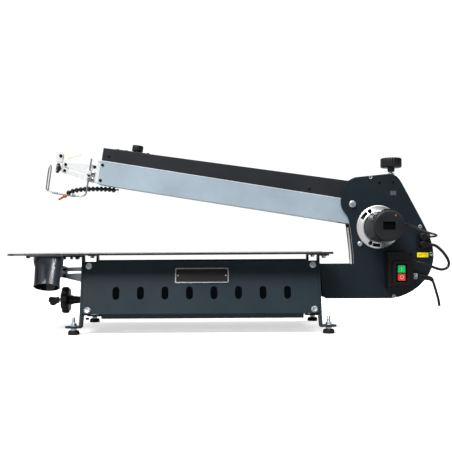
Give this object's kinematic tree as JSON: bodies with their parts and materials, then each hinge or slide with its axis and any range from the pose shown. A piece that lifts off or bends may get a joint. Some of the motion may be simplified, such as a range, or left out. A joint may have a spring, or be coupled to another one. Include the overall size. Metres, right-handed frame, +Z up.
{
  "type": "scroll saw",
  "caption": "Bench scroll saw: long flat table on a folded steel base, geared tilting head with raised parallel-link upper arm, blade clamps, blower, hold-down and side motor.",
  "frame": {"origin": "in the worktable's top face, on the head's tilt axis, 300 mm behind the blade line", "axes": "+X towards the rear of the machine (the motor end), +Z up from the table, -Y to the operator's right; the head tilts about the X axis"},
  "size_m": [1.1067, 0.356, 0.4781],
  "materials": {
    "navy_paint": "semi-gloss dark blue powder coat",
    "arm_blue_paint": "pale blue-grey powder coat",
    "arm_black_paint": "satin black powder coat",
    "table_steel": "ground steel plate",
    "zinc_plate": "bright zinc plate",
    "cast_aluminium": "satin machined aluminium",
    "machined_steel": "machined steel",
    "black_plastic": "moulded black plastic",
    "motor_black": "satin black enamel",
    "foot_rubber": "black rubber",
    "cream_plastic": "cream nylon",
    "orange_plastic": "orange plastic",
    "green_plastic": "green plastic",
    "red_plastic": "red plastic",
    "cable_sheath": "black cable sheath"
  },
  "bodies": {
    "base": {"work_table": "table_steel", "front_leg_frame": "navy_paint", "rear_leg_frame": "navy_paint", "right_side_panel": "navy_paint", "left_side_panel": "navy_paint", "dust_port": "black_plastic"},
    "head": {"head_plate_right": "navy_paint", "head_plate_left": "navy_paint", "throat_cover": "cast_aluminium", "rear_cover": "navy_paint", "lower_arm_beam": "navy_paint", "front_trunnion": "machined_steel", "rear_trunnion": "machined_steel", "rocker_pivot_bolt": "zinc_plate", "arm_pivot_bolt": "zinc_plate", "motor_flange": "cast_aluminium", "motor_body": "motor_black", "motor_end_cap": "black_plastic", "switch_box": "black_plastic", "switch_lid": "black_plastic", "mains_cable": "cable_sheath", "motor_plug": "black_plastic", "supply_plug": "black_plastic", "motor_cable": "cable_sheath", "supply_cable": "cable_sheath"},
    "tilt_drive": {"tilt_pinion_shaft": "machined_steel", "tilt_handwheel": "black_plastic"},
    "upper_arm": {"upper_arm_channel": "arm_blue_paint", "upper_arm_cover": "arm_black_paint", "arm_nose_block": "cast_aluminium", "blower_hose": "black_plastic", "blower_nozzle": "orange_plastic", "control_plate": "black_plastic"},
    "hold_down": {"hold_down_post": "zinc_plate", "hold_down_foot": "zinc_plate", "finger_guard": "zinc_plate"},
    "tension_knob": {"tension_knob": "black_plastic"},
    "tension_nut": {"tension_nut": "machined_steel"},
    "start_button": {"start_button": "green_plastic"},
    "stop_button": {"stop_button": "red_plastic"},
    "rear_rocker": {"rear_rocker": "machined_steel"},
    "connecting_rod": {"connecting_rod": "cast_aluminium"},
    "motor_crank": {"motor_crank": "machined_steel"},
    "lower_push_rod": {"lower_push_rod": "zinc_plate"},
    "lower_link_top": {"lower_link_top": "machined_steel"},
    "lower_bell_crank": {"lower_bell_crank": "machined_steel"},
    "lower_blade_clamp": {"lower_blade_clamp": "cast_aluminium"},
    "upper_bell_crank": {"upper_bell_crank": "cast_aluminium"},
    "upper_link_bottom": {"upper_link_bottom": "cast_aluminium"},
    "upper_push_rod": {"upper_push_rod": "zinc_plate"},
    "upper_blade_clamp": {"upper_blade_clamp": "cast_aluminium"},
    "tension_lever": {"tension_lever": "cream_plastic"},
    "clamp_thumb_screw": {"clamp_thumb_screw": "black_plastic"},
    "speed_dial": {"speed_dial": "black_plastic"},
    "power_rocker": {"power_rocker": "black_plastic"},
    "tilt_lock_knob": {"tilt_lock_knob": "black_plastic"},
    "levelling_foot_front_right": {"levelling_foot_front_right": "foot_rubber"},
    "levelling_foot_front_left": {"levelling_foot_front_left": "foot_rubber"},
    "levelling_foot_rear_right": {"levelling_foot_rear_right": "foot_rubber"},
    "levelling_foot_rear_left": {"levelling_foot_rear_left": "foot_rubber"}
  },
  "joints": [
    {"name": "head_tilt", "type": "hinge", "parent": "base", "child": "head", "pos_m": [0, 0, 0], "axis": [1, 0, 0], "range_deg": [-45, 30], "stiffness_Nm_per_rad": 1500},
    {"name": "handwheel_turn", "type": "hinge", "parent": "base", "child": "tilt_drive", "pos_m": [-0.285, 0, -0.12235], "axis": [1, 0, 0], "range_deg": [-325, 485]},
    {"name": "tilt_lock_turn", "type": "hinge", "parent": "tilt_drive", "child": "tilt_lock_knob", "pos_m": [-0.316, 0, -0.12235], "axis": [1, 0, 0], "range_deg": [-120, 0]},
    {"name": "foot_front_right_adjust", "type": "slide", "parent": "base", "child": "levelling_foot_front_right", "axis": [0, 0, 1], "range_m": [-0.012, 0.001]},
    {"name": "foot_front_left_adjust", "type": "slide", "parent": "base", "child": "levelling_foot_front_left", "axis": [0, 0, 1], "range_m": [-0.012, 0.001]},
    {"name": "foot_rear_right_adjust", "type": "slide", "parent": "base", "child": "levelling_foot_rear_right", "axis": [0, 0, 1], "range_m": [-0.012, 0.001]},
    {"name": "foot_rear_left_adjust", "type": "slide", "parent": "base", "child": "levelling_foot_rear_left", "axis": [0, 0, 1], "range_m": [-0.012, 0.001]},
    {"name": "arm_lift", "type": "hinge", "parent": "head", "child": "upper_arm", "pos_m": [0.4605, 0, 0.122], "axis": [0, 1, 0], "range_deg": [-9.5, 0], "stiffness_Nm_per_rad": 40, "springref_deg": 24.06},
    {"name": "tension_knob_turn", "type": "hinge", "parent": "head", "child": "tension_knob", "pos_m": [0.568, 0, 0.23], "axis": [0, 0, 1], "range_deg": [-720, 720]},
    {"name": "tension_nut_travel", "type": "slide", "parent": "head", "child": "tension_nut", "axis": [0, 0, 1], "range_m": [-0.0031, 0.0031]},
    {"name": "start_press", "type": "slide", "parent": "head", "child": "start_button", "axis": [0, 1, 0], "range_m": [0, 0.003], "stiffness_N_per_m": 300},
    {"name": "stop_press", "type": "slide", "parent": "head", "child": "stop_button", "axis": [0, 1, 0], "range_m": [0, 0.003], "stiffness_N_per_m": 300},
    {"name": "rocker_swing", "type": "hinge", "parent": "head", "child": "rear_rocker", "pos_m": [0.4787, 0, 0.0198], "axis": [0, 1, 0], "range_deg": [-1.34, 1.34], "stiffness_Nm_per_rad": 20},
    {"name": "connecting_rod_stroke", "type": "slide", "parent": "head", "child": "connecting_rod", "axis": [1, 0, 0], "range_m": [-0.00102, 0.00102]},
    {"name": "crank_spin", "type": "hinge", "parent": "head", "child": "motor_crank", "pos_m": [0.526, 0, 0.0624], "axis": [0, 1, 0], "continuous": true},
    {"name": "lower_rod_stroke", "type": "slide", "parent": "head", "child": "lower_push_rod", "axis": [1, 0, 0], "range_m": [-0.0026, 0.0026]},
    {"name": "lower_crank_swing", "type": "hinge", "parent": "head", "child": "lower_bell_crank", "pos_m": [-0.2095, 0, -0.058], "axis": [0, 1, 0], "range_deg": [-7.3, 7.3], "stiffness_Nm_per_rad": 10},
    {"name": "lower_link_swing", "type": "hinge", "parent": "head", "child": "lower_link_top", "pos_m": [-0.2095, 0, -0.0415], "axis": [0, 1, 0], "range_deg": [-7.3, 7.3], "stiffness_Nm_per_rad": 10},
    {"name": "lower_clamp_pivot", "type": "hinge", "parent": "lower_bell_crank", "child": "lower_blade_clamp", "pos_m": [-0.2865, 0, -0.0595], "axis": [0, 1, 0], "range_deg": [-7.3, 7.3], "stiffness_Nm_per_rad": 5},
    {"name": "upper_rod_stroke", "type": "slide", "parent": "upper_arm", "child": "upper_push_rod", "axis": [0.9885, 0, -0.1513], "range_m": [-0.0026, 0.0026]},
    {"name": "upper_crank_swing", "type": "hinge", "parent": "upper_arm", "child": "upper_bell_crank", "pos_m": [-0.20884, 0, 0.20526], "axis": [0, 1, 0], "range_deg": [-7.3, 7.3], "stiffness_Nm_per_rad": 10},
    {"name": "upper_link_swing", "type": "hinge", "parent": "upper_arm", "child": "upper_link_bottom", "pos_m": [-0.21143, 0, 0.18947], "axis": [0, 1, 0], "range_deg": [-7.3, 7.3], "stiffness_Nm_per_rad": 10},
    {"name": "upper_clamp_pivot", "type": "hinge", "parent": "upper_bell_crank", "child": "upper_blade_clamp", "pos_m": [-0.28215, 0, 0.23095], "axis": [0, 1, 0], "range_deg": [-7.3, 7.3], "stiffness_Nm_per_rad": 5},
    {"name": "thumb_screw_turn", "type": "hinge", "parent": "upper_blade_clamp", "child": "clamp_thumb_screw", "pos_m": [-0.28852, 0.002, 0.21993], "axis": [-0.915, -0.3746, 0.1498], "range_deg": [-180, 180]},
    {"name": "tension_lever_flip", "type": "hinge", "parent": "upper_blade_clamp", "child": "tension_lever", "pos_m": [-0.29217, 0, 0.2564], "axis": [0, 1, 0], "range_deg": [-80, 0]},
    {"name": "hold_down_travel", "type": "slide", "parent": "upper_arm", "child": "hold_down", "axis": [0.1616, 0, 0.9869], "range_m": [-0.003, 0.03]},
    {"name": "speed_dial_turn", "type": "hinge", "parent": "upper_arm", "child": "speed_dial", "pos_m": [-0.09591, 0, 0.2643], "axis": [0.1393, 0, 0.9902], "range_deg": [0, 270]},
    {"name": "power_rocker_tip", "type": "hinge", "parent": "upper_arm", "child": "power_rocker", "pos_m": [-0.14131, 0, 0.26463], "axis": [0, 1, 0], "range_deg": [-14, 0]}
  ],
  "couplings": [
    {"joint": "handwheel_turn", "follows": "head_tilt", "ratio": -10.643},
    {"joint": "tension_nut_travel", "follows": "tension_knob_turn", "m_per_rad": 0.00023873},
    {"joint": "connecting_rod_stroke", "follows": "rocker_swing", "m_per_rad": 0.0426},
    {"joint": "lower_rod_stroke", "follows": "rocker_swing", "m_per_rad": -0.0962},
    {"joint": "lower_crank_swing", "follows": "rocker_swing", "ratio": 5.379},
    {"joint": "lower_link_swing", "follows": "rocker_swing", "ratio": 5.379},
    {"joint": "lower_clamp_pivot", "follows": "rocker_swing", "ratio": -5.379},
    {"joint": "upper_rod_stroke", "follows": "rocker_swing", "m_per_rad": 0.1022},
    {"joint": "upper_crank_swing", "follows": "rocker_swing", "ratio": 5.379},
    {"joint": "upper_link_swing", "follows": "rocker_swing", "ratio": 5.379},
    {"joint": "upper_clamp_pivot", "follows": "rocker_swing", "ratio": -5.379}
  ]
}
